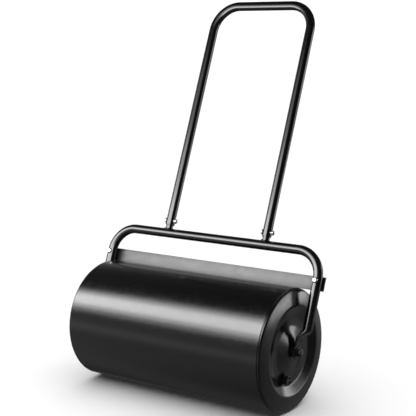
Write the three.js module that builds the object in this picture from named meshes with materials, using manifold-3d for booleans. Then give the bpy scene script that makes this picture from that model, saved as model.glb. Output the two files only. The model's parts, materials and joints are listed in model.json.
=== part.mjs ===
// A push lawn roller: a water-filled steel drum that turns in a tubular yoke, with a bolted-on U handle,
// a scraper strip behind the drum and a screw plug in the drum's right end.
// Millimetres. X runs along the drum (right end at +X), -Y is the front, +Z is up.
// The origin is on the ground, under the middle of the whole roller.
import * as THREE from "three";
import { mergeVertices } from "three/addons/utils/BufferGeometryUtils.js";
import Module from "manifold-3d";

const wasm = await Module();
wasm.setup();

// Drum
const drumRadius = 160;
const drumHalfWidth = 300;
const shellThickness = 2;
const capThickness = 2;
const capFlangeDepth = 14;
const hubFace = 10.5; // how far the cap's hub stands out from the shell's edge
const sleeveRadius = 10;
const sleeveBore = 8;

// Axle, its bushes, washers and nuts, each as [inner face, outer face] along X
const axleRadius = 6;
const axleHalfLength = 336.5;
const bushFlange = [310.8, 314.8];
const innerWasher = [315.1, 317.6];
const outerWasher = [323.4, 325.9];
const axleNut = [326.2, 334.2];
const axleNutWidth = 18; // across flats
const axleWasherRadius = 12;
const bushFlangeRadius = 14;
const bushBarrelLength = 22;
const bushChamfer = 0.6;

// Frame of tube: the yoke that holds the axle, and the handle bolted onto it
const lean = THREE.MathUtils.degToRad(21.8);
const tubeRadius = 12.7;
const tubeBore = 10.7;
const yokeHalfWidth = 337.5;
const yokeHeight = 260; // from the axle to the crossbar, along the leaning frame
const yokeCorner = 70;
const pressTop = 60; // the arm's lower end is pressed flat and set inwards below this height
const pressEnd = 33;
const tabX = 320.5;
const tabHalfThickness = 2.5;
const tabHalfWidth = 18;
const pressedBore = 0.4;
const pressedWall = 2.1;

const handleHalfWidth = 159.5;
const handleTop = 939;
const handleFoot = 284;
const handleCorner = 73;
const handleSetback = 5; // how far the legs stand behind the crossbar's centre line
const spigotRadius = 10;
const spigotBore = 8;
const spigotTop = 345;
const weldWidth = 3;
const handleBoltRadius = 4;
const handleBoltHeight = 296;
const handleHeadRadius = 6.8;
const handleHeadHeight = 5.2;
const handleWasherRadius = 8;
const handleWasherThickness = 1.5;
const handleNutWidth = 13; // across flats
const handleNutHeight = 5.5; // of the cap nut's hexagon, below its dome
const handleNutDome = 4.2;

// Scraper strip behind the yoke's arms
const scraperHalfLength = 352.5;
const scraperBottom = 163;
const scraperTop = 199.4;
const scraperFront = 13.1;
const scraperThickness = 4;
const scraperBoltHeight = 186;
const scraperBoltRadius = 3;
const scraperHeadRadius = 7.4;
const scraperHeadHeight = 4.6;
const scraperWasherRadius = 7;
const scraperWasherThickness = 1.6;
const scraperNutWidth = 10; // across flats
const scraperNutHeight = 5;
const boltPastNut = 3;

// Filler neck, seal and screw plug in the right end cap, at this place from the axle
const fillerY = -24.9;
const fillerZ = -70.1;
const neckRadius = 10.5;
const neckBore = 8;
const neckDepth = 12; // into the drum, below the shell's edge
const neckFace = 304;
const sealRadius = 12;
const sealThickness = 2;
const plugFace = 313.7;
const plugRadius = 13;
const plugCollar = 10.6; // radius of the plug between the seal and its ribbed flange
const plugFlange = 5.2; // thickness of the ribbed flange
const plugStem = 7.6;
const plugStemLength = 8.4; // inside the neck
const ribCount = 12;
const ribGroove = 1.6; // radius of the grooves between the flange's ribs
const recessRadius = 9.5;
const recessDepth = 3;
const gripWidth = 4;

const overshoot = 1; // how far a cutting tool runs past the face it opens
const toolReach = 30; // half the length of a tool that cuts right through a tube
const gap = 0.3; // between touching pieces
const clearance = 0.4; // radial, of a bolt in its hole
const runningFit = 0.08; // radial, of the axle in its bushes

const axleHeight = drumRadius;
const axleY = (drumRadius - handleTop * Math.sin(lean) - handleSetback * Math.cos(lean) - tubeRadius) / 2;

const colour = { paint: 0x0c0c0d, zinc: 0xc8cacc, steel: 0x8c8f92, nylon: 0x1a1a1b, rubber: 0x141414 };

const finish = {
  paint: () => new THREE.MeshStandardMaterial({ color: colour.paint, roughness: 0.12, metalness: 0 }),
  zinc: () => new THREE.MeshStandardMaterial({ color: colour.zinc, roughness: 0.3, metalness: 1 }),
  steel: () => new THREE.MeshStandardMaterial({ color: colour.steel, roughness: 0.4, metalness: 1 }),
  nylon: () => new THREE.MeshStandardMaterial({ color: colour.nylon, roughness: 0.5, metalness: 0 }),
  rubber: () => new THREE.MeshStandardMaterial({ color: colour.rubber, roughness: 0.8, metalness: 0 }),
};

// ---- Joining and cutting ----

function toSolid(geometry) {
  const bare = geometry.clone();
  bare.deleteAttribute("normal");
  bare.deleteAttribute("uv");
  const merged = mergeVertices(bare, 1e-4);
  return new wasm.Manifold(
    new wasm.Mesh({
      numProp: 3,
      vertProperties: merged.attributes.position.array,
      triVerts: new Uint32Array(merged.index.array),
    }),
  );
}

function toGeometry(solid) {
  const mesh = solid.getMesh();
  const geometry = new THREE.BufferGeometry();
  geometry.setAttribute("position", new THREE.BufferAttribute(mesh.vertProperties, 3));
  geometry.setIndex(new THREE.BufferAttribute(mesh.triVerts, 1));
  geometry.computeVertexNormals();
  return geometry;
}

function cut(geometry, ...tools) {
  return toGeometry(tools.reduce((rest, tool) => rest.subtract(toSolid(tool)), toSolid(geometry)));
}

function join(geometry, ...others) {
  return toGeometry(others.reduce((sum, other) => sum.add(toSolid(other)), toSolid(geometry)));
}

// ---- Basic shapes, all turned about the X axis unless the name says otherwise ----

// A closed outline of [radius, position along X] spun about X. The outline runs counter-clockwise with the
// radius to the right.
function turned(outline, segments) {
  const points = outline.map(([radius, along]) => new THREE.Vector2(radius, along));
  return new THREE.LatheGeometry(points, segments).rotateZ(-Math.PI / 2);
}

function ring(inner, outer, from, to, segments) {
  return turned([[inner, from], [outer, from], [outer, to], [inner, to], [inner, from]], segments);
}

function rod(radius, from, to, segments = 24) {
  return new THREE.CylinderGeometry(radius, radius, to - from, segments)
    .rotateZ(-Math.PI / 2)
    .translate((from + to) / 2, 0, 0);
}

// A hexagon across the given flats, with its corners turned down at the outer end.
function hexagon(acrossFlats, from, to) {
  const corner = acrossFlats / Math.sqrt(3);
  const bevel = 0.08 * acrossFlats;
  const prism = rod(corner, from, to, 6);
  const turning = turned(
    [[0, from], [corner, from], [corner, to - 0.5 * bevel], [corner - bevel, to], [0, to]],
    24,
  );
  return toGeometry(toSolid(prism).intersect(toSolid(turning)));
}

// A shallow dome standing on the plane at `from`, as on a coach bolt's head.
function dome(radius, from, height, segments = 20, steps = 4) {
  const outline = [[0, from], [radius, from]];
  for (let i = 1; i < steps; i++) {
    const angle = (i / steps) * (Math.PI / 2);
    outline.push([radius * Math.cos(angle), from + height * Math.sin(angle)]);
  }
  outline.push([0, from + height]);
  return turned(outline, segments);
}

// ---- Bent tube ----

// One cross-section of a tube bent in the XZ plane. `out` is the angle from +X of the outward direction in
// that plane, `half` and `halfY` are the section's half sizes, and `square` above 1 flattens its faces.
function sectionPoints({ x, z, out, half, halfY, square = 1 }, sides) {
  const points = [];
  for (let i = 0; i < sides; i++) {
    const angle = (i / sides) * 2 * Math.PI;
    const across = half * THREE.MathUtils.clamp(square * Math.cos(angle), -1, 1);
    points.push([x + across * Math.cos(out), halfY * Math.sin(angle), z + across * Math.sin(out)]);
  }
  return points;
}

// A closed solid through a list of cross-sections.
function loft(sections, sides) {
  const positions = sections.flatMap((section) => sectionPoints(section, sides)).flat();
  const first = sections[0];
  const last = sections[sections.length - 1];
  positions.push(first.x, 0, first.z, last.x, 0, last.z);
  const firstCentre = sections.length * sides;
  const lastCentre = firstCentre + 1;
  const lastRing = (sections.length - 1) * sides;
  const index = [];
  for (let j = 0; j < sides; j++) {
    const k = (j + 1) % sides;
    for (let i = 0; i < sections.length - 1; i++) {
      const [a, b, c, d] = [i * sides + j, i * sides + k, (i + 1) * sides + k, (i + 1) * sides + j];
      index.push(a, b, c, a, c, d);
    }
    index.push(firstCentre, k, j, lastCentre, lastRing + j, lastRing + k);
  }
  const geometry = new THREE.BufferGeometry();
  geometry.setAttribute("position", new THREE.Float32BufferAttribute(positions, 3));
  geometry.setIndex(index);
  return geometry;
}

// An upside-down U of tube: up the right leg, round two corners and down the left leg.
function bail({ halfWidth, top, corner, radius, cornerSteps, leg }) {
  const right = [...leg];
  for (let i = 0; i <= cornerSteps; i++) {
    const angle = (i / cornerSteps) * (Math.PI / 2);
    right.push({
      x: halfWidth - corner + corner * Math.cos(angle),
      z: top - corner + corner * Math.sin(angle),
      out: angle,
      half: radius,
      halfY: radius,
    });
  }
  const left = right.map((s) => ({ ...s, x: -s.x, out: Math.PI - s.out })).reverse();
  return [...right, ...left];
}

// ---- Drum ----

// The drum's outside is across its flats, so a flat of the shell rests on the ground.
function drumShell() {
  const segments = 96;
  const spread = 1 / Math.cos(Math.PI / segments);
  const outer = drumRadius * spread;
  const inner = (drumRadius - shellThickness) * spread;
  return ring(inner, outer, -drumHalfWidth, drumHalfWidth, segments).rotateX(Math.PI / segments);
}

// The pressed end cap's outer face as [radius, height above the shell's edge], from the flange to the hub:
// a round shoulder, a shallow cone out to a ridge, a dished wall, a flat floor and a cone up to the hub.
function capFace() {
  const flange = drumRadius - shellThickness - gap;
  const path = new THREE.Path()
    .moveTo(flange, -capFlangeDepth)
    .lineTo(flange, -1)
    .quadraticCurveTo(flange, 5, 148, 6.3)
    .lineTo(121, 10.9)
    .quadraticCurveTo(116.5, 11.8, 112.5, 9.9)
    .lineTo(91, 1.1)
    .quadraticCurveTo(88, -0.3, 84, -0.5)
    .lineTo(69, -0.5)
    .quadraticCurveTo(66, -0.5, 63, 0.2)
    .lineTo(25, 9.3)
    .quadraticCurveTo(21, hubFace, 17, hubFace)
    .lineTo(sleeveRadius + gap, hubFace);
  return path.getPoints(2);
}

// Moves each point of an outline sideways, to the right of its direction.
function offsetOutline(points, distance) {
  return points.map((point, i) => {
    const before = points[Math.max(i - 1, 0)];
    const after = points[Math.min(i + 1, points.length - 1)];
    const along = after.clone().sub(before).normalize();
    return new THREE.Vector2(point.x - distance * along.y, point.y + distance * along.x);
  });
}

function endCap(withFiller) {
  const outside = capFace();
  const inside = offsetOutline(outside, capThickness).reverse();
  const outline = [...outside, ...inside, outside[0]].map((p) => [p.x, p.y + drumHalfWidth]);
  const cap = turned(outline, 40);
  if (!withFiller) return toGeometry(toSolid(cap));
  const hole = rod(neckRadius + gap, drumHalfWidth - capFlangeDepth, drumHalfWidth + capFlangeDepth);
  return cut(cap, atFiller(hole));
}

function axleSleeve() {
  const end = drumHalfWidth + hubFace - gap;
  return ring(sleeveBore, sleeveRadius, -end, end, 24);
}

function axleBush() {
  const [face, end] = bushFlange;
  const segments = 24;
  const bore = (axleRadius + runningFit) / Math.cos(Math.PI / segments);
  const barrel = sleeveBore - gap;
  const start = face - bushBarrelLength;
  const outline = [
    [bore, start], [barrel, start], [barrel, face], [bushFlangeRadius, face],
    [bushFlangeRadius, end - bushChamfer], [bushFlangeRadius - bushChamfer, end], [bore, end],
    [bore, start],
  ];
  return turned(outline, segments);
}

// Moves a piece made about the X axis to the filler's place on the drum's end.
function atFiller(geometry) {
  return geometry.translate(0, fillerY, fillerZ);
}

const sealFace = neckFace + gap + sealThickness;
const plugSeat = sealFace + gap;

function fillerNeck() {
  return atFiller(ring(neckBore, neckRadius, drumHalfWidth - neckDepth, neckFace, 24));
}

function plugSeal() {
  return atFiller(ring(plugStem + gap, sealRadius, neckFace + gap, sealFace, 24));
}

// A ribbed flange with a grip bar across its recessed face, on a collar and a stem that screws into the neck.
function fillerPlug() {
  const flangeBack = plugFace - plugFlange;
  const tools = [rod(recessRadius, plugFace - recessDepth, plugFace + overshoot)];
  const groove = rod(ribGroove, flangeBack - overshoot, plugFace + overshoot, 8);
  for (let i = 0; i < ribCount; i++) {
    const turn = (i / ribCount) * 2 * Math.PI;
    tools.push(groove.clone().translate(0, plugRadius + 0.4 * ribGroove, 0).rotateX(turn));
  }
  const flange = cut(rod(plugRadius, flangeBack, plugFace, 48), ...tools);
  const grip = new THREE.BoxGeometry(recessDepth, 2 * recessRadius - gap, gripWidth)
    .translate(plugFace - recessDepth / 2 - gap, 0, 0);
  const collar = rod(plugCollar, plugSeat, flangeBack + gap);
  const stem = rod(plugStem, neckFace - plugStemLength, flangeBack);
  return atFiller(join(flange, grip, collar, stem));
}

// ---- Frame ----

// The yoke arm's sections from its rounded, pressed tip up to where it is plain round tube.
function armSections(radius, halfThickness, tipRadius) {
  const tip = [-0.99, -0.87, -0.5, 0].map((part) => ({
    z: part * tipRadius,
    press: 1,
    narrow: Math.sqrt(1 - part * part),
  }));
  const steps = 5;
  const set = Array.from({ length: steps + 1 }, (_, i) => ({
    z: pressEnd + (i / steps) * (pressTop - pressEnd),
    press: 1 - THREE.MathUtils.smoothstep(i / steps, 0, 1),
    narrow: 1,
  }));
  return [...tip, ...set].map(({ z, press, narrow }) => ({
    x: THREE.MathUtils.lerp(yokeHalfWidth, tabX, press),
    z,
    out: 0,
    half: THREE.MathUtils.lerp(radius, halfThickness, press),
    halfY: narrow * THREE.MathUtils.lerp(radius, tipRadius, press),
    square: 1 + press,
  }));
}

function yokeTube() {
  const shape = { halfWidth: yokeHalfWidth, top: yokeHeight, corner: yokeCorner, cornerSteps: 7 };
  const outside = bail({
    ...shape,
    radius: tubeRadius,
    leg: armSections(tubeRadius, tabHalfThickness, tabHalfWidth),
  });
  const inside = bail({
    ...shape,
    radius: tubeBore,
    leg: armSections(tubeBore, pressedBore, tabHalfWidth - pressedWall),
  });
  const holes = [-1, 1].flatMap((side) => [
    rod(axleRadius + clearance, -2 * tabHalfThickness, 2 * tabHalfThickness)
      .translate(side * tabX, 0, 0),
    boltHoleAlongY(scraperBoltRadius + clearance).translate(side * yokeHalfWidth, 0, scraperBoltHeight),
  ]);
  return cut(loft(outside, 16), loft(inside, 10), ...holes);
}

function boltHoleAlongY(radius) {
  return new THREE.CylinderGeometry(radius, radius, 2 * toolReach, 16);
}

function handleBoltHole() {
  return rod(handleBoltRadius + clearance, -toolReach, toolReach, 16).translate(0, 0, handleBoltHeight);
}

// A stub of tube standing on the crossbar, shaped to its curve, with a weld bead round its foot.
function spigot() {
  const foot = yokeHeight + weldWidth;
  const chamfer = 1.5;
  const outline = [
    [spigotBore, foot], [spigotRadius, foot], [spigotRadius, spigotTop - chamfer],
    [spigotRadius - chamfer, spigotTop], [spigotBore, spigotTop], [spigotBore, foot],
  ];
  const stub = turned(outline, 24).rotateY(-Math.PI / 2);
  const weldCollar = ring(spigotBore, spigotRadius + weldWidth, foot, foot + 2 * tubeRadius, 24)
    .rotateY(-Math.PI / 2);
  const crossbar = (radius) =>
    rod(radius, -toolReach, toolReach).rotateX(Math.PI / 24).translate(0, -handleSetback, yokeHeight);
  const weld = toSolid(weldCollar).intersect(toSolid(crossbar(tubeRadius + gap + weldWidth)));
  return cut(toGeometry(toSolid(stub).add(weld)), crossbar(tubeRadius + gap), handleBoltHole());
}

function handleTube() {
  const shape = { halfWidth: handleHalfWidth, top: handleTop, corner: handleCorner, cornerSteps: 8 };
  const foot = { x: handleHalfWidth, out: 0 };
  const outside = bail({
    ...shape,
    radius: tubeRadius,
    leg: [{ ...foot, z: handleFoot, half: tubeRadius, halfY: tubeRadius }],
  });
  const inside = bail({
    ...shape,
    radius: tubeBore,
    leg: [{ ...foot, z: handleFoot - 1, half: tubeBore, halfY: tubeBore }],
  });
  const holes = [-1, 1].map((side) => handleBoltHole().translate(side * handleHalfWidth, 0, 0));
  return cut(loft(outside, 16), loft(inside, 10), ...holes);
}

// The handle's bolt runs along X through a leg and its spigot. Its domed head is on the left, on a washer,
// and its cap nut on the right.
const handleNutFace = tubeRadius + gap;
const handleHeadFace = handleNutFace + handleWasherThickness + gap;

function handleBolt() {
  const head = dome(handleHeadRadius, handleHeadFace, handleHeadHeight).rotateZ(Math.PI);
  const shankEnd = handleNutFace + handleNutHeight - 1;
  return join(head, rod(handleBoltRadius, -handleHeadFace - overshoot, shankEnd, 20));
}

function handleWasher() {
  return ring(handleBoltRadius + gap, handleWasherRadius, -handleHeadFace + gap, -handleNutFace, 20);
}

function capNut() {
  const crown = dome(0.44 * handleNutWidth, handleNutHeight - 0.5, handleNutDome);
  const body = join(hexagon(handleNutWidth, 0, handleNutHeight), crown);
  const bore = rod(handleBoltRadius + gap, -overshoot, handleNutHeight - 0.5, 20);
  return cut(body, bore).translate(handleNutFace, 0, 0);
}

function scraperPlate() {
  const height = scraperTop - scraperBottom;
  const strip = new THREE.BoxGeometry(2 * scraperHalfLength, scraperThickness, height).translate(
    0, scraperFront + scraperThickness / 2, scraperBottom + height / 2,
  );
  const holes = [-1, 1].map((side) =>
    boltHoleAlongY(scraperBoltRadius + clearance).translate(side * yokeHalfWidth, 0, scraperBoltHeight),
  );
  return cut(strip, ...holes);
}

// The scraper's bolt, washer and nut are made about X, bolt head at the left, and turned to point backwards.
const scraperWasherFace = scraperFront + scraperThickness + gap;
const scraperNutFace = scraperWasherFace + scraperWasherThickness + gap;

function scraperBolt() {
  const head = dome(scraperHeadRadius, 0, scraperHeadHeight)
    .rotateZ(Math.PI)
    .translate(-tubeRadius - gap, 0, 0);
  const shankEnd = scraperNutFace + scraperNutHeight + boltPastNut;
  return join(head, rod(scraperBoltRadius, -tubeRadius - overshoot, shankEnd, 16));
}

function scraperWasher() {
  const back = scraperWasherFace + scraperWasherThickness;
  return ring(scraperBoltRadius + gap, scraperWasherRadius, scraperWasherFace, back, 24);
}

function scraperNut() {
  const back = scraperNutFace + scraperNutHeight;
  const bore = rod(scraperBoltRadius + gap, scraperNutFace - overshoot, back + overshoot, 16);
  return cut(hexagon(scraperNutWidth, scraperNutFace, back), bore);
}

function axleWasher([from, to]) {
  return ring(axleRadius + gap, axleWasherRadius, from, to, 24);
}

function axleNutBody() {
  const [from, to] = axleNut;
  return cut(hexagon(axleNutWidth, from, to), rod(axleRadius + gap, from - overshoot, to + overshoot));
}

function axleRod() {
  const chamfer = 1;
  const tip = axleRadius - chamfer;
  const outline = [
    [0, -axleHalfLength], [tip, -axleHalfLength], [axleRadius, chamfer - axleHalfLength],
    [axleRadius, axleHalfLength - chamfer], [tip, axleHalfLength], [0, axleHalfLength],
  ];
  return turned(outline, 24);
}

// ---- Assembly ----

const roller = new THREE.Group();

function group(parent, { position = [0, 0, 0], rotation = [0, 0, 0] } = {}) {
  const made = new THREE.Group();
  made.position.set(...position);
  made.rotation.set(...rotation);
  parent.add(made);
  return made;
}

function piece(parent, name, geometry, material) {
  const mesh = new THREE.Mesh(geometry, material());
  mesh.name = name;
  parent.add(mesh);
}

const atAxle = group(roller, { position: [0, axleY, axleHeight] });
const frame = group(atAxle, { rotation: [-lean, 0, 0] });
const handle = group(frame, { position: [0, handleSetback, 0] });

piece(atAxle, "drum_shell", drumShell(), finish.paint);
piece(atAxle, "axle_sleeve", axleSleeve(), finish.steel);
piece(atAxle, "axle_rod", axleRod(), finish.steel);
piece(atAxle, "filler_neck", fillerNeck(), finish.steel);
piece(atAxle, "plug_seal", plugSeal(), finish.rubber);
piece(atAxle, "filler_plug", fillerPlug(), finish.nylon);
piece(frame, "yoke_tube", yokeTube(), finish.paint);
piece(frame, "scraper_plate", scraperPlate(), finish.paint);
piece(handle, "handle_tube", handleTube(), finish.paint);

for (const [side, name] of [[1, "right"], [-1, "left"]]) {
  const end = group(atAxle, { rotation: [0, 0, side > 0 ? 0 : Math.PI] });
  piece(end, `end_cap_${name}`, endCap(side > 0), finish.paint);
  piece(end, `axle_bush_${name}`, axleBush(), finish.nylon);
  piece(end, `axle_inner_washer_${name}`, axleWasher(innerWasher), finish.paint);
  piece(end, `axle_outer_washer_${name}`, axleWasher(outerWasher), finish.paint);
  piece(end, `axle_nut_${name}`, axleNutBody(), finish.paint);

  const scraperBoltPlace = group(frame, {
    position: [side * yokeHalfWidth, 0, scraperBoltHeight],
    rotation: [0, 0, Math.PI / 2],
  });
  piece(scraperBoltPlace, `scraper_bolt_${name}`, scraperBolt(), finish.zinc);
  piece(scraperBoltPlace, `scraper_washer_${name}`, scraperWasher(), finish.zinc);
  piece(scraperBoltPlace, `scraper_nut_${name}`, scraperNut(), finish.zinc);

  const leg = group(handle, { position: [side * handleHalfWidth, 0, 0] });
  piece(leg, `spigot_${name}`, spigot(), finish.paint);
  const handleBoltPlace = group(leg, { position: [0, 0, handleBoltHeight] });
  piece(handleBoltPlace, `handle_bolt_${name}`, handleBolt(), finish.zinc);
  piece(handleBoltPlace, `handle_nut_${name}`, capNut(), finish.zinc);
  piece(handleBoltPlace, `handle_washer_${name}`, handleWasher(), finish.zinc);
}

export default roller;
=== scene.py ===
import json
import math

import bmesh
import bpy
from mathutils import Matrix, Vector


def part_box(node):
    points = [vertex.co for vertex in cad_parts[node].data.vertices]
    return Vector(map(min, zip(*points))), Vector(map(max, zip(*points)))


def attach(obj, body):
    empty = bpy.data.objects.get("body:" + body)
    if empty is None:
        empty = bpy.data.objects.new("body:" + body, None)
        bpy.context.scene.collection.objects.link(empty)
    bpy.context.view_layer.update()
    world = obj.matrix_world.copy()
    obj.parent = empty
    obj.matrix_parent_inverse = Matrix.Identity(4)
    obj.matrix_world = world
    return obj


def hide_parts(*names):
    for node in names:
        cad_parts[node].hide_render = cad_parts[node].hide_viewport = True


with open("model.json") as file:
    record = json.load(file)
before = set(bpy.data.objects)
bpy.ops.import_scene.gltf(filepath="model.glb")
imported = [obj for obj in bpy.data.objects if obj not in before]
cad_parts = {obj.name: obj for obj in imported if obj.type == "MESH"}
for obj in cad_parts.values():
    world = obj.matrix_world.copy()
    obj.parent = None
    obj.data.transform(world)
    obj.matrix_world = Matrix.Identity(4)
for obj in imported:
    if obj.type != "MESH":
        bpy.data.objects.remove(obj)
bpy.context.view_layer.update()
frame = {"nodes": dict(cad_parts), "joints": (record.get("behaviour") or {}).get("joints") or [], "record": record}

collection = bpy.context.scene.collection

# The roller's own lines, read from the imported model. The axle runs along X through this point, and the frame
# of tube leans back from it: `up_frame` runs up along it and `behind_frame` away from its front.
axle = Vector(next(j["pos_m"] for j in frame["joints"] if j["name"] == "drum_spin"))
up_frame = Vector(frame["record"]["mounts"][0]["axis"])
behind_frame = Vector((0, up_frame.z, -up_frame.y))


# ---- Camera ----
# A long lens, a little lower than the handle's top bar, that looks down at the drum's front and right end.

camera_data = bpy.data.cameras.new("camera")
camera_data.sensor_width = 36
camera_data.lens = 94.34
camera = bpy.data.objects.new("camera", camera_data)
collection.objects.link(camera)
camera_azimuth = math.radians(34.87)
camera_elevation = math.radians(8.98)
camera_distance = 2.8477
camera_target = Vector((0.0475, axle.y, 0.5031))
towards_camera = Vector((
    math.sin(camera_azimuth) * math.cos(camera_elevation),
    -math.cos(camera_azimuth) * math.cos(camera_elevation),
    math.sin(camera_elevation),
))
camera.location = camera_target + towards_camera * camera_distance
camera.rotation_mode = "QUATERNION"
camera.rotation_quaternion = (-towards_camera).to_track_quat("-Z", "Y")
bpy.context.scene.camera = camera
bpy.context.scene.view_settings.view_transform = "Standard"


# ---- Light and floor ----
# A long softbox, brightest along its middle, crosses the front, two stand at the back's right, and a wide
# panel overhead lights the pale floor. The gloss shows a room of its own: a dark ceiling, two black flags
# on the right, a white wall at the back's left and a dim floor.

def add_node(tree, kind, settings=None, links=None, **values):
    """Adds a shader node. Settings are its properties, values its sockets, links its sockets fed by others."""
    node = tree.nodes.new("ShaderNode" + kind)
    for key, value in (settings or {}).items():
        setattr(node, key, value)
    for key, value in values.items():
        node.inputs[key.replace("_", " ")].default_value = value
    for key, source in (links or {}).items():
        tree.links.new(source, node.inputs[key])
    return node


def linear(hex_colour):
    """An sRGB hex colour as linear red, green, blue and alpha."""
    parts = [int(hex_colour[i:i + 2], 16) / 255 for i in (1, 3, 5)]
    return [c / 12.92 if c <= 0.04045 else ((c + 0.055) / 1.055) ** 2.4 for c in parts] + [1]


def softbox(name, azimuth, distance, sides, heights, radiance):
    """An upright lamp, in front of the axle at azimuth 0 and to its right at 90. Its sides lie to the left
    and right of the line to it, and it lights glossy reflections only."""
    (left, right), (low, high) = sides, heights
    lamp = bpy.data.lights.new(name, "AREA")
    lamp.shape = "RECTANGLE"
    lamp.size = right - left
    lamp.size_y = high - low
    lamp.energy = radiance * math.pi * lamp.size * lamp.size_y
    stand = bpy.data.objects.new(name, lamp)
    collection.objects.link(stand)
    turn = math.radians(azimuth)
    outwards = Vector((math.sin(turn), -math.cos(turn), 0))
    sideways = Vector((math.cos(turn), math.sin(turn), 0))
    middle = Vector((0, axle.y, (low + high) / 2))
    stand.location = middle + outwards * distance + sideways * (left + right) / 2
    stand.rotation_mode = "QUATERNION"
    stand.rotation_quaternion = outwards.to_track_quat("Z", "Y")
    stand.visible_camera = False
    stand.visible_diffuse = False


# The key softbox is three panels, not in one plane, because there one panel would hide another.
key_distance, key_gap, key_sides = 0.587, 0.01, (-1.6, 0.3)
key_layers = (((0.37, 1.6), 1.8), ((0.45, 1.2), 4.8), ((0.54, 0.93), 6.6))
for layer, (heights, radiance) in enumerate(key_layers):
    softbox(f"key_softbox_{layer}", 0, key_distance - key_gap * layer, key_sides, heights, radiance)
back_azimuth, back_distance, back_sides = 138, 3, (-0.9, 0.9)
softbox("low_back_softbox", back_azimuth, back_distance, back_sides, (0.02, 0.42), 4.2)
softbox("high_back_softbox", back_azimuth, back_distance, back_sides, (0.72, 1.5), 3.4)

overhead = bpy.data.lights.new("overhead_panel", "SUN")
overhead.energy = 3.4
overhead.angle = math.radians(110)
overhead_stand = bpy.data.objects.new("overhead_panel", overhead)
collection.objects.link(overhead_stand)
overhead_stand.visible_glossy = False

studio = bpy.data.worlds.new("studio")
bpy.context.scene.world = studio
studio.use_nodes = True
studio.node_tree.nodes.clear()
studio_tree = studio.node_tree
direction = add_node(studio_tree, "TexCoord").outputs["Generated"]
height = add_node(studio_tree, "SeparateXYZ", links={"Vector": direction}).outputs["Z"]


def along_height(start, end, low, high):
    """A value that goes from low to high as the direction rises between two sines."""
    return add_node(
        studio_tree, "MapRange", links={"Value": height},
        **{"From_Min": start, "From_Max": end, "To_Min": low, "To_Max": high},
    ).outputs["Result"]


# The room's brightness, from straight down, through the pale horizon, to the dark ceiling.
levels = (
    (0.0, 0.12), (0.085, 0.2), (0.12, 0.27), (0.22, 0.38), (0.35, 0.42),
    (0.44, 0.9), (0.5, 0.5), (0.62, 0.34), (0.78, 0.1), (1.0, 0.04),
)
room = add_node(studio_tree, "ValToRGB", links={"Fac": along_height(-1.0, 1.0, 0.0, 1.0)})
for _ in levels[2:]:
    room.color_ramp.elements.new(1.0)
for stop, (position, level) in zip(room.color_ramp.elements, levels):
    stop.position = position
    stop.color = (level, level, level, 1)


def facing(azimuth, start, end, low, high):
    """A value that goes from low to high as the direction turns towards an azimuth, between two cosines."""
    turn = math.radians(azimuth)
    towards = add_node(studio_tree, "VectorMath", {"operation": "DOT_PRODUCT"}, {0: direction})
    towards.inputs[1].default_value = (math.sin(turn), -math.cos(turn), 0)
    return add_node(
        studio_tree, "MapRange", links={"Value": towards.outputs["Value"]},
        **{"From_Min": start, "From_Max": end, "To_Min": low, "To_Max": high},
    ).outputs["Result"]


def combined(operation, first, second):
    """The result of one arithmetic operation on two values."""
    return add_node(studio_tree, "Math", {"operation": operation}, {0: first, 1: second}).outputs["Value"]


black_flags = combined("MULTIPLY", facing(75, 0.55, 0.85, 1.0, 0.15), facing(145, 0.5, 0.85, 1.0, 0.55))
drum_shadow = combined("MAXIMUM", facing(-135, 0.4, 0.75, 1.0, 0.15), along_height(-0.5, -0.2, 0.0, 1.0))
darkened = combined("MULTIPLY", black_flags, drum_shadow)
wall_height = combined("MULTIPLY", along_height(-0.1, -0.03, 0.0, 1.0), along_height(0.1, 0.3, 1.0, 0.0))
white_wall = combined("MULTIPLY", facing(-145, 0.75, 0.9, 0.0, 1.1), wall_height)
reflected = combined("MAXIMUM", combined("MULTIPLY", room.outputs["Color"], darkened), white_wall)
# Behind the object the camera sees plain white paper, above the floor's edge as below it.
seen = add_node(studio_tree, "LightPath").outputs["Is Camera Ray"]
brightness = combined("MAXIMUM", reflected, seen)
backdrop = add_node(studio_tree, "Background", links={"Strength": brightness}, Color=linear("#FFFFFF"))
add_node(studio_tree, "OutputWorld", links={"Surface": backdrop.outputs["Background"]})

floor_mesh = bmesh.new()
bmesh.ops.create_circle(floor_mesh, cap_ends=True, segments=96, radius=60)
floor_data = bpy.data.meshes.new("floor")
floor_mesh.to_mesh(floor_data)
floor_mesh.free()
floor = bpy.data.objects.new("floor", floor_data)
collection.objects.link(floor)
floor.visible_glossy = False
paper = bpy.data.materials.new("pale studio paper")
paper.use_nodes = True
paper_shader = paper.node_tree.nodes["Principled BSDF"]
paper_shader.inputs["Base Color"].default_value = linear("#F4F4F4")
paper_shader.inputs["Roughness"].default_value = 0.9
floor_data.materials.append(paper)


# ---- Drum shell ----
# A sheet of 2 mm steel rolled to a cylinder, with its two outer edges rounded over, and powder coated in
# gloss black. Its section is turned about the axle.

def surface(name, base, roughness, metallic=0.0, ior=1.5):
    """A new material with its shader's plain values set. Patterns are added to it afterwards."""
    material = bpy.data.materials.new(name)
    material.use_nodes = True
    shader = material.node_tree.nodes["Principled BSDF"]
    shader.inputs["Base Color"].default_value = linear(base)
    shader.inputs["Roughness"].default_value = roughness
    shader.inputs["Metallic"].default_value = metallic
    shader.inputs["IOR"].default_value = ior
    return material, shader


def mottle(material, shader, socket, spacing, low, high):
    """Feeds a shader's socket with soft noise between two values. Spacing is in metres."""
    tree = material.node_tree
    place = add_node(tree, "TexCoord")
    noise = add_node(
        tree, "TexNoise", links={"Vector": place.outputs["Object"]}, Scale=1 / spacing, Detail=2.0,
    )
    span = add_node(
        tree, "MapRange", links={"Value": noise.outputs["Fac"]},
        **{"From_Min": 0.3, "From_Max": 0.7, "To_Min": low, "To_Max": high},
    )
    tree.links.new(span.outputs["Result"], shader.inputs[socket])


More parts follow.
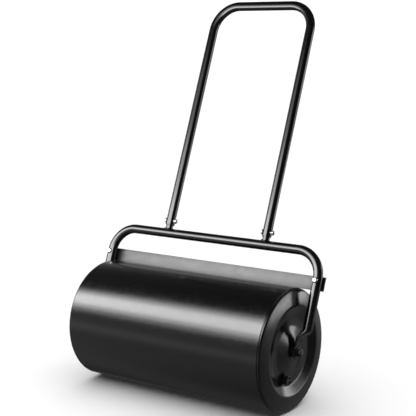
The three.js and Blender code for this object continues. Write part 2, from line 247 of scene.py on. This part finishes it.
def orange_peel(material, shader, spacing, depth):
    """Raises a shader's surface in soft bumps. Spacing and depth are in metres."""
    tree = material.node_tree
    place = add_node(tree, "TexCoord")
    noise = add_node(
        tree, "TexNoise", links={"Vector": place.outputs["Object"]}, Scale=1 / spacing, Detail=1.0,
    )
    bump = add_node(tree, "Bump", links={"Height": noise.outputs["Fac"]}, Strength=1.0, Distance=depth)
    tree.links.new(bump.outputs["Normal"], shader.inputs["Normal"])


# Powder coat flows out in the oven to a deep black gloss with faint, soft bumps about 3 mm apart.
gloss_powder_coat, gloss_shader = surface("gloss powder-coated steel", "#060607", 0.2)
mottle(gloss_powder_coat, gloss_shader, "Roughness", 0.012, 0.17, 0.23)
orange_peel(gloss_powder_coat, gloss_shader, 0.003, 0.00001)


def finished(name, bm, material, body, slot, *nodes, smooth=35):
    """Makes a piece from a finished bmesh with its material and body, and hides the parts it replaces."""
    bmesh.ops.remove_doubles(bm, verts=bm.verts, dist=1e-6)
    bmesh.ops.recalc_face_normals(bm, faces=bm.faces)
    data = bpy.data.meshes.new(name)
    bm.to_mesh(data)
    bm.free()
    piece = bpy.data.objects.new(name, data)
    collection.objects.link(piece)
    data.materials.append(material)
    data.shade_smooth()
    data.set_sharp_from_angle(angle=math.radians(smooth))
    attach(piece, body)
    if nodes:
        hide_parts(*nodes)
    return piece


def turned(outline, steps=96, centre=axle, closed=True):
    """Spins an outline about a line along X. Each corner is (radius, x, fillet radius), in metres."""
    bm = bmesh.new()
    corners = [bm.verts.new((x, centre.y, centre.z + radius)) for radius, x, _ in outline]
    pairs = list(zip(corners, corners[1:] + corners[:1]))
    for a, b in pairs if closed else pairs[:-1]:
        bm.edges.new((a, b))
    for corner, (_, _, fillet) in zip(corners, outline):
        if fillet:
            bmesh.ops.bevel(
                bm, geom=[corner], offset=fillet, offset_type="OFFSET", segments=6, profile=0.5,
                affect="VERTICES", material=-1,
            )
    bmesh.ops.spin(
        bm, geom=bm.verts[:] + bm.edges[:], cent=centre, axis=(1, 0, 0), angle=2 * math.pi, steps=steps,
        use_merge=True,
    )
    return bm


shell_low, shell_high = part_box("drum_shell")
drum_radius = (shell_high.y - shell_low.y) / 2
shell_wall = 0.002
shell_end = shell_high.x
shell_outline = [
    (drum_radius, -shell_end, 0.0015),
    (drum_radius, shell_end, 0.0015),
    (drum_radius - shell_wall, shell_end, 0.0004),
    (drum_radius - shell_wall, -shell_end, 0.0004),
]
finished(
    "drum_shell_rolled", turned(shell_outline, steps=256), gloss_powder_coat, "drum",
    "gloss_powder_coated_steel", "drum_shell",
)


# ---- End caps ----
# Discs of 2 mm sheet pressed in a die: a flange inside the shell, a round shoulder, a shallow cone out to a
# ridge, a dish round a flat floor, and a cone that carries the axle's sleeve.

def end_cap_outline(side):
    """The pressed sheet's outer face and then its inner face, as corners to be rounded."""
    face = [
        (0.1577, -0.0140, 0), (0.1577, 0.0052, 0.0045), (0.1170, 0.0123, 0.0045), (0.0885, -0.0005, 0.0050),
        (0.0660, -0.0005, 0.0040), (0.0215, 0.0105, 0.0050), (0.0103, 0.0105, 0),
    ]
    inside = [
        (0.0103, 0.0085, 0), (0.0212, 0.0085, 0.0030), (0.0655, -0.0025, 0.0030), (0.0892, -0.0025, 0.0030),
        (0.1165, 0.0102, 0.0030), (0.1557, 0.0034, 0.0030), (0.1557, -0.0140, 0),
    ]
    return [(radius, side * (shell_end + out), fillet) for radius, out, fillet in face + inside]


for side, name in ((1, "right"), (-1, "left")):
    finished(
        f"end_cap_{name}_pressed", turned(end_cap_outline(side), steps=192), gloss_powder_coat, "drum",
        "gloss_powder_coated_steel", f"end_cap_{name}",
    )


# ---- Frame tubes ----
# The yoke and the push handle are 25.4 mm steel tube with a 2 mm wall, bent cold round a former and powder
# coated in gloss black. The yoke's two ends are pressed flat and set inwards to take the axle.

tube_radius = 0.0127
tube_wall = 0.002
frame_turn = Matrix((
    (1, 0, 0),
    (0, behind_frame.y, up_frame.y),
    (0, behind_frame.z, up_frame.z),
)).to_4x4()
onto_frame = Matrix.Translation(axle) @ frame_turn


def bend_tube(bm, ring, centre, angle, steps):
    """Carries a ring of edges round a bend about a line along the frame's depth. Returns the last ring."""
    made = bmesh.ops.spin(bm, geom=ring, cent=centre, axis=(0, 1, 0), angle=angle, steps=steps)
    return [item for item in made["geom_last"] if isinstance(item, bmesh.types.BMEdge)]


def extend_tube(bm, ring, by):
    """Carries a ring of edges straight on, and returns the last ring."""
    made = bmesh.ops.extrude_edge_only(bm, edges=ring)["geom"]
    bmesh.ops.translate(bm, verts=[v for v in made if isinstance(v, bmesh.types.BMVert)], vec=by)
    return [item for item in made if isinstance(item, bmesh.types.BMEdge)
            and all(v in made for v in item.verts) and len(item.link_faces) == 1]


def bent_hoop(foot, half_width, top, corner, leg_lengths=(), sides=40, bend_steps=28):
    """A tube up the right, round two corners and down the left, in the frame's own X and Z, feet first."""
    bm = bmesh.new()
    bmesh.ops.create_circle(
        bm, segments=sides, radius=tube_radius, matrix=Matrix.Translation((half_width, 0, foot)),
    )
    ring = bm.edges[:]
    at = foot
    for z in [*leg_lengths, top - corner]:
        ring = extend_tube(bm, ring, (0, 0, z - at))
        at = z
    ring = bend_tube(bm, ring, (half_width - corner, 0, top - corner), -math.pi / 2, bend_steps)
    ring = extend_tube(bm, ring, (2 * (corner - half_width), 0, 0))
    ring = bend_tube(bm, ring, (corner - half_width, 0, top - corner), -math.pi / 2, bend_steps)
    for z in [*reversed(leg_lengths), foot]:
        ring = extend_tube(bm, ring, (0, 0, z - at))
        at = z
    return bm


def frame_box(node):
    """A CAD node's box in the leaning frame's own axes: X, behind and up."""
    back = onto_frame.inverted()
    points = [back @ v.co for v in frame["nodes"][node].data.vertices]
    return [Vector(map(pick, zip(*points))) for pick in (min, max)]


handle_low, handle_high = frame_box("handle_tube")
handle_depth = (handle_low.y + handle_high.y) / 2
handle_corner, yoke_corner = 0.073, 0.070
handle_foot = handle_low.z
ring_spacing = 0.06
leg_rings = [handle_foot + step for step in (0.0004, 0.0012, 0.01)]
leg_rings += [handle_foot + ring_spacing * i for i in range(1, 10)]
handle = bent_hoop(
    handle_foot, handle_high.x - tube_radius, handle_high.z - tube_radius, handle_corner,
    leg_lengths=leg_rings,
)
bmesh.ops.translate(handle, verts=handle.verts, vec=(0, handle_depth, 0))
bmesh.ops.transform(handle, matrix=onto_frame, verts=handle.verts)
handle_piece = finished(
    "handle_tube_bent", handle, gloss_powder_coat, "frame", "gloss_powder_coated_steel", "handle_tube",
    smooth=60,
)
wall = handle_piece.modifiers.new("wall", "SOLIDIFY")
wall.thickness = tube_wall
wall.offset = -1

yoke_high = frame_box("yoke_tube")[1]
yoke_half_width = yoke_high.x - tube_radius
press_top, press_end = 0.060, 0.033
tab_x = (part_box("axle_inner_washer_right")[1].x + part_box("axle_outer_washer_right")[0].x) / 2
tab_half_thick, tab_half_width = 0.0025, 0.018
press_steps = [press_end + (press_top - press_end) * i / 12 for i in range(13)]
tab_rings, arm_rings = (0.012, 0.024), (0.062, 0.066, 0.08, 0.11, 0.14, 0.17)
tip_steps = [-tab_half_width * math.cos(math.radians(7.5 * i)) for i in range(1, 13)]
yoke = bent_hoop(
    -tab_half_width, yoke_half_width, yoke_high.z - tube_radius, yoke_corner,
    leg_lengths=[*tip_steps, *tab_rings, *press_steps, *arm_rings],
)


def pressed(point):
    """Where a point of the plain tube's arm goes when the arm's end is pressed flat and set inwards."""
    part = min(max((press_top - point.z) / (press_top - press_end), 0), 1)
    flat = part * part * (3 - 2 * part)
    side = math.copysign(1, point.x)
    across = (abs(point.x) - yoke_half_width) / tube_radius
    depth = point.y / tube_radius
    narrow = math.sqrt(max(1 - (point.z / tab_half_width) ** 2, 0)) if point.z < 0 else 1
    squared = max(-1, min(1, across * (1 + flat)))
    half_thick = tube_radius + (tab_half_thick - tube_radius) * flat
    half_wide = (tube_radius + (tab_half_width - tube_radius) * flat) * narrow
    middle = yoke_half_width + (tab_x - yoke_half_width) * flat
    return Vector((side * (middle + half_thick * squared), half_wide * depth, point.z))


for v in yoke.verts:
    if v.co.z < press_top:
        v.co = pressed(v.co)
bmesh.ops.transform(yoke, matrix=onto_frame, verts=yoke.verts)
finished(
    "yoke_tube_bent", yoke, gloss_powder_coat, "frame", "gloss_powder_coated_steel", "yoke_tube", smooth=50,
)


# ---- Scraper strip ----
# A flat bar across the back of the yoke's arms that keeps mud off the drum. Guillotined, with its corners
# rubbed down, and powder coated less thickly, so its finish is satin.

satin_powder_coat, satin_shader = surface("satin powder-coated steel", "#080809", 0.38)
mottle(satin_powder_coat, satin_shader, "Roughness", 0.015, 0.35, 0.42)
orange_peel(satin_powder_coat, satin_shader, 0.002, 0.00001)

strip_low, strip_high = frame_box("scraper_plate")
strip = bmesh.new()
bmesh.ops.create_cube(strip, size=1)
bmesh.ops.scale(strip, vec=strip_high - strip_low, verts=strip.verts)
bmesh.ops.translate(strip, vec=(strip_high + strip_low) / 2, verts=strip.verts)
bmesh.ops.bevel(
    strip, geom=strip.edges[:], offset=0.0006, segments=3, profile=0.5, affect="EDGES", material=-1,
)
bmesh.ops.transform(strip, matrix=onto_frame, verts=strip.verts)
finished(
    "scraper_strip", strip, satin_powder_coat, "frame", "gloss_powder_coated_steel", "scraper_plate",
)


# ---- Spigots ----
# Stubs of tube that stand on the crossbar inside the handle's legs, each welded on all round its foot with
# a rippled bead, and powder coated with the yoke.

def placed(bm, *, x=0.0, behind=0.0, up=0.0, way="right"):
    """Moves a piece made about X at the origin onto the leaning frame, its X axis facing the given way."""
    turn = {
        "right": Matrix(),
        "behind": Matrix.Rotation(math.pi / 2, 4, "Z"),
        "up": Matrix.Rotation(-math.pi / 2, 4, "Y"),
    }[way]
    bmesh.ops.transform(
        bm, matrix=onto_frame @ Matrix.Translation((x, behind, up)) @ turn, verts=bm.verts,
    )
    return bm


def merged(*parts):
    """One bmesh out of several."""
    whole = bmesh.new()
    for part in parts:
        data = bpy.data.meshes.new("part")
        part.to_mesh(data)
        part.free()
        whole.from_mesh(data)
        bpy.data.meshes.remove(data)
    return whole


origin = Vector((0, 0, 0))
crossbar_height = yoke_high.z - tube_radius
spigot_radius, spigot_bore = 0.010, 0.008
bead_size, bead_ripple, bead_ripples = 0.0021, 0.00022, 30


def weld_bead():
    """A rippled ring of weld about X whose height follows the crossbar's round top."""
    near, far = spigot_radius - 0.4 * bead_size, spigot_radius + 1.6 * bead_size
    fillet = 0.97 * bead_size
    bm = turned(
        [(near, -bead_size, fillet), (far, -bead_size, fillet),
         (far, bead_size, fillet), (near, bead_size, fillet)],
        steps=240, centre=origin,
    )
    for v in bm.verts:
        behind = v.co.y + handle_depth
        height = math.sqrt(max(tube_radius ** 2 - behind ** 2, (0.4 * tube_radius) ** 2))
        v.co.x += height + bead_ripple * math.sin(bead_ripples * math.atan2(v.co.z, v.co.y))
    return bm


for side, name in ((1, "right"), (-1, "left")):
    low, high = frame_box(f"spigot_{name}")
    foot = crossbar_height + 0.003
    stub = turned(
        [(spigot_bore, foot, 0), (spigot_radius, foot, 0),
         (spigot_radius, high.z, 0.0012), (spigot_bore, high.z, 0)],
        steps=64, centre=origin,
    )
    bead = weld_bead()
    bmesh.ops.translate(bead, verts=bead.verts, vec=(crossbar_height, 0, 0))
    spigot_x = (low.x + high.x) / 2
    finished(
        f"spigot_{name}_welded", placed(merged(stub, bead), x=spigot_x, behind=handle_depth, way="up"),
        gloss_powder_coat, "frame", "gloss_powder_coated_steel", f"spigot_{name}",
    )


# ---- Handle bolts ----
# An M8 coach bolt goes through each leg and its spigot, with a washer under its domed head on the left and
# a cap nut on the right. Zinc plated, bright and slightly blue, with soft patches of duller metal.

def two_tone(material, shader, first, second, spacing):
    """Feeds a shader's base colour with soft noise between two sRGB colours. Spacing is in metres."""
    tree = material.node_tree
    place = add_node(tree, "TexCoord")
    noise = add_node(
        tree, "TexNoise", links={"Vector": place.outputs["Object"]}, Scale=1 / spacing, Detail=3.0,
    )
    ramp = add_node(tree, "ValToRGB", links={"Fac": noise.outputs["Fac"]})
    ramp.color_ramp.elements[0].position = 0.35
    ramp.color_ramp.elements[0].color = linear(first)
    ramp.color_ramp.elements[1].position = 0.65
    ramp.color_ramp.elements[1].color = linear(second)
    tree.links.new(ramp.outputs["Color"], shader.inputs["Base Color"])


zinc_plate, zinc_shader = surface("zinc-plated steel", "#C9CCD0", 0.28, metallic=1.0)
mottle(zinc_plate, zinc_shader, "Roughness", 0.004, 0.2, 0.36)
two_tone(zinc_plate, zinc_shader, "#B9BDC2", "#D3D5D6", 0.006)
orange_peel(zinc_plate, zinc_shader, 0.0008, 0.000004)


def hexagon(across_flats, start, end, chamfer=0.0006):
    """A hexagonal nut along X at the origin, with its edges rubbed down."""
    bm = bmesh.new()
    corner = across_flats / math.sqrt(3)
    bmesh.ops.create_cone(
        bm, cap_ends=True, segments=6, radius1=corner, radius2=corner, depth=end - start,
        matrix=Matrix.Translation(((start + end) / 2, 0, 0)) @ Matrix.Rotation(math.pi / 2, 4, "Y"),
    )
    bmesh.ops.bevel(
        bm, geom=bm.edges[:], offset=chamfer, segments=3, profile=0.5, affect="EDGES", material=-1,
    )
    return bm


def washer(low, high, hole, radius, centre=origin):
    """A flat ring along X with its edges rolled over."""
    edge = 0.0003
    return turned(
        [(hole, low, edge), (radius, low, edge), (radius, high, edge), (hole, high, edge)],
        steps=64, centre=centre,
    )


handle_bolt_radius, cap_nut_flats, cap_nut_body = 0.004, 0.013, 0.0055
handle_head_fillet, crown_fillet, head_gap = 0.0046, 0.0052, 0.0003
for name in ("right", "left"):
    bolt_low, bolt_high = frame_box(f"handle_bolt_{name}")
    washer_low, washer_high = frame_box(f"handle_washer_{name}")
    nut_low, nut_high = frame_box(f"handle_nut_{name}")
    at_bolt = {"behind": handle_depth, "up": (washer_low.z + washer_high.z) / 2}
    head_radius = (bolt_high.z - bolt_low.z) / 2
    head_back = washer_low.x - head_gap
    bolt = turned(
        [(0, bolt_low.x, 0), (head_radius, bolt_low.x, handle_head_fillet), (head_radius, head_back, 0.0002),
         (handle_bolt_radius, head_back, 0), (handle_bolt_radius, bolt_high.x, 0), (0, bolt_high.x, 0)],
        steps=64, centre=origin, closed=False,
    )
    finished(
        f"handle_bolt_{name}_forged", placed(bolt, **at_bolt), zinc_plate, "frame", "zinc_plated_steel",
        f"handle_bolt_{name}",
    )
    ring = washer(washer_low.x, washer_high.x, handle_bolt_radius, (washer_high.z - washer_low.z) / 2)
    finished(
        f"handle_washer_{name}_pressed", placed(ring, **at_bolt), zinc_plate, "frame", "zinc_plated_steel",
        f"handle_washer_{name}",
    )
    crown_radius = 0.45 * cap_nut_flats
    crown_foot = nut_low.x + 0.6 * cap_nut_body
    crown = turned(
        [(0, crown_foot, 0), (crown_radius, crown_foot, 0),
         (crown_radius, nut_high.x, crown_fillet), (0, nut_high.x, 0)],
        steps=64, centre=origin, closed=False,
    )
    body = hexagon(cap_nut_flats, nut_low.x, nut_low.x + cap_nut_body)
    finished(
        f"handle_nut_{name}_domed", placed(merged(body, crown), **at_bolt), zinc_plate, "frame",
        "zinc_plated_steel", f"handle_nut_{name}",
    )


# ---- Scraper bolts ----
# An M6 coach bolt goes back through each of the yoke's arms and the strip, with a washer and a plain nut
# behind it. Zinc plated like the handle's bolts, and its thread stands out behind the nut.

def thread(radius, pitch, depth, start, end):
    """The corners of a thread's ridges along a rod, from one place on X to another."""
    count = round(abs(end - start) / pitch)
    step = (end - start) / count
    return [
        corner for i in range(count)
        for corner in ((radius - depth, start + step * i, 0), (radius, start + step * (i + 0.5), 0))
    ]


scraper_bolt_radius, scraper_nut_flats, scraper_head_fillet = 0.003, 0.010, 0.0042
scraper_thread_pitch, scraper_thread_depth, scraper_thread_start = 0.001, 0.0005, 0.014
scraper_tip_chamfer = 0.0008
for name in ("right", "left"):
    bolt_low, bolt_high = frame_box(f"scraper_bolt_{name}")
    washer_low, washer_high = frame_box(f"scraper_washer_{name}")
    nut_low, nut_high = frame_box(f"scraper_nut_{name}")
    at_bolt = {
        "x": (washer_low.x + washer_high.x) / 2, "up": (washer_low.z + washer_high.z) / 2, "way": "behind",
    }
    head_radius = (bolt_high.x - bolt_low.x) / 2
    head_back = -tube_radius - head_gap
    tip = bolt_high.y - scraper_tip_chamfer
    bolt = turned(
        [(0, bolt_low.y, 0), (head_radius, bolt_low.y, scraper_head_fillet), (head_radius, head_back, 0.0002),
         (scraper_bolt_radius, head_back, 0),
         *thread(scraper_bolt_radius, scraper_thread_pitch, scraper_thread_depth, scraper_thread_start, tip),
         (scraper_bolt_radius - scraper_tip_chamfer, bolt_high.y, 0), (0, bolt_high.y, 0)],
        steps=64, centre=origin, closed=False,
    )
    finished(
        f"scraper_bolt_{name}_forged", placed(bolt, **at_bolt), zinc_plate, "frame", "zinc_plated_steel",
        f"scraper_bolt_{name}",
    )
    ring = washer(washer_low.y, washer_high.y, scraper_bolt_radius, (washer_high.x - washer_low.x) / 2)
    finished(
        f"scraper_washer_{name}_pressed", placed(ring, **at_bolt), zinc_plate, "frame", "zinc_plated_steel",
        f"scraper_washer_{name}",
    )
    nut = hexagon(scraper_nut_flats, nut_low.y, nut_high.y)
    finished(
        f"scraper_nut_{name}_forged", placed(nut, **at_bolt), zinc_plate, "frame", "zinc_plated_steel",
        f"scraper_nut_{name}",
    )


# ---- Axle rod, washers and nuts ----
# A 12 mm bar of oiled mild steel runs through the drum, threaded at both ends. Its washers and nuts clamp
# the yoke's pressed ends and are powder coated in the scraper's satin black.

mild_steel, mild_shader = surface("oiled mild steel", "#5E5F61", 0.4, metallic=1.0)
mottle(mild_steel, mild_shader, "Roughness", 0.003, 0.32, 0.5)
two_tone(mild_steel, mild_shader, "#4C4D4F", "#6A6B6C", 0.008)
orange_peel(mild_steel, mild_shader, 0.0012, 0.00001)

axle_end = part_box("axle_rod")[1].x
axle_radius, thread_length, axle_pitch, thread_depth = 0.006, 0.024, 0.00175, 0.0008
axle_tip = axle_end - 0.001
rod = [
    (0, -axle_end, 0), (axle_radius - thread_depth, -axle_end, 0),
    *thread(axle_radius, axle_pitch, thread_depth, -axle_tip, thread_length - axle_tip),
    (axle_radius, thread_length - axle_tip, 0), (axle_radius, axle_tip - thread_length, 0),
    *thread(axle_radius, axle_pitch, thread_depth, axle_tip - thread_length, axle_tip),
    (axle_radius - thread_depth, axle_end, 0), (0, axle_end, 0),
]
finished("axle_rod_threaded", turned(rod, closed=False), mild_steel, "frame", "mild_steel", "axle_rod")

axle_nut_flats = 0.018
for name in ("right", "left"):
    for place in ("inner", "outer"):
        low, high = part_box(f"axle_{place}_washer_{name}")
        finished(
            f"axle_{place}_washer_{name}_pressed",
            washer(low.x, high.x, axle_radius, (high.y - low.y) / 2, centre=axle), satin_powder_coat, "frame",
            "gloss_powder_coated_steel", f"axle_{place}_washer_{name}",
        )
    low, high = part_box(f"axle_nut_{name}")
    nut = hexagon(axle_nut_flats, low.x, high.x, 0.001)
    bmesh.ops.translate(nut, verts=nut.verts, vec=(0, axle.y, axle.z))
    finished(
        f"axle_nut_{name}_forged", nut, satin_powder_coat, "frame", "gloss_powder_coated_steel",
        f"axle_nut_{name}",
    )


# ---- Bushes and sleeve ----
# Moulded black nylon bushes with a flange, pushed into the two ends of a plain steel sleeve that joins the
# end caps.

nylon, nylon_shader = surface("moulded black nylon", "#111112", 0.42, ior=1.53)
mottle(nylon, nylon_shader, "Roughness", 0.003, 0.36, 0.5)
orange_peel(nylon, nylon_shader, 0.0005, 0.000012)

sleeve_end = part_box("axle_sleeve")[1].x
sleeve_radius, sleeve_bore = 0.010, 0.008
finished(
    "axle_sleeve_cut", turned([
        (sleeve_bore, -sleeve_end, 0.0003), (sleeve_radius, -sleeve_end, 0.0003),
        (sleeve_radius, sleeve_end, 0.0003), (sleeve_bore, sleeve_end, 0.0003),
    ]), mild_steel, "drum", "mild_steel", "axle_sleeve",
)
bush_barrel = sleeve_bore - 0.0002
bush_bore = axle_radius + 0.0001
for side, name in ((1, "right"), (-1, "left")):
    low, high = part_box(f"axle_bush_{name}")
    start, end = (low.x, high.x) if side > 0 else (high.x, low.x)
    flange_back = side * (sleeve_end + 0.0005)
    flange_radius = (high.y - low.y) / 2
    finished(
        f"axle_bush_{name}_moulded", turned([
            (bush_bore, start, 0.0003), (bush_barrel, start, 0.0003), (bush_barrel, flange_back, 0),
            (flange_radius, flange_back, 0.0005), (flange_radius, end, 0.0008), (bush_bore, end, 0.0003),
        ]), nylon, "drum", "nylon", f"axle_bush_{name}",
    )


# ---- Filler neck, seal and plug ----
# A steel neck welded into the right end cap, closed by a moulded nylon screw plug with a ribbed flange and
# a grip bar across its face. A ring of nitrile rubber is squeezed between the two.

rubber, rubber_shader = surface("nitrile rubber", "#0D0D0D", 0.7, ior=1.52)
mottle(rubber, rubber_shader, "Roughness", 0.002, 0.62, 0.8)
orange_peel(rubber, rubber_shader, 0.0004, 0.00001)

plug_low, plug_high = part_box("filler_plug")
filler = (plug_low + plug_high) / 2
neck_low, neck_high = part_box("filler_neck")
seal_low, seal_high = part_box("plug_seal")
neck_bore, neck_radius, seal_bore, seal_radius = 0.008, 0.0105, 0.0077, 0.012
finished(
    "filler_neck_welded", washer(neck_low.x, neck_high.x, neck_bore, neck_radius, centre=filler), mild_steel,
    "drum", "mild_steel", "filler_neck",
)
finished(
    "plug_seal_moulded", washer(seal_low.x, seal_high.x, seal_bore, seal_radius, centre=filler), rubber,
    "seal", "sealing_rubber", "plug_seal",
)

plug_radius = 0.013
flange_thickness, collar_radius, stem_radius = 0.0052, 0.0106, 0.0075
plug_thread_pitch, plug_thread_depth = 0.0015, 0.0006
recess_radius, recess_depth = 0.0095, 0.003
rib_count, rib_depth = 12, 0.0011
flange_back = plug_high.x - flange_thickness
plug = turned([
    (0, plug_low.x, 0), (stem_radius - plug_thread_depth, plug_low.x, 0),
    *thread(stem_radius, plug_thread_pitch, plug_thread_depth, plug_low.x + 0.0004, seal_low.x),
    (stem_radius - plug_thread_depth, seal_high.x + 0.0002, 0), (collar_radius, seal_high.x + 0.0002, 0.0002),
    (collar_radius, flange_back, 0), (plug_radius, flange_back, 0.0006), (plug_radius, plug_high.x, 0.0009),
    (recess_radius, plug_high.x, 0.0005), (recess_radius - 0.0004, plug_high.x - recess_depth, 0.0004),
    (0, plug_high.x - recess_depth, 0),
], steps=288, centre=filler, closed=False)
for v in plug.verts:
    out = Vector((0, v.co.y - filler.y, v.co.z - filler.z))
    if out.length > collar_radius + 0.0005:
        around = math.cos(rib_count * math.atan2(out.z, out.y))
        v.co -= out.normalized() * rib_depth * max(around, 0) ** 0.5
grip_height, grip_width, grip_sunk = recess_depth + 0.0005, 0.004, 0.0003
grip = bmesh.new()
bmesh.ops.create_cube(grip, size=1)
bmesh.ops.scale(grip, vec=(grip_height, 2 * recess_radius, grip_width), verts=grip.verts)
grip_middle = plug_high.x - grip_sunk - grip_height / 2
bmesh.ops.translate(grip, verts=grip.verts, vec=(grip_middle, filler.y, filler.z))
bmesh.ops.bevel(
    grip, geom=grip.edges[:], offset=0.0006, segments=3, profile=0.5, affect="EDGES", material=-1,
)
finished("filler_plug_moulded", merged(plug, grip), nylon, "plug", "nylon", "filler_plug")
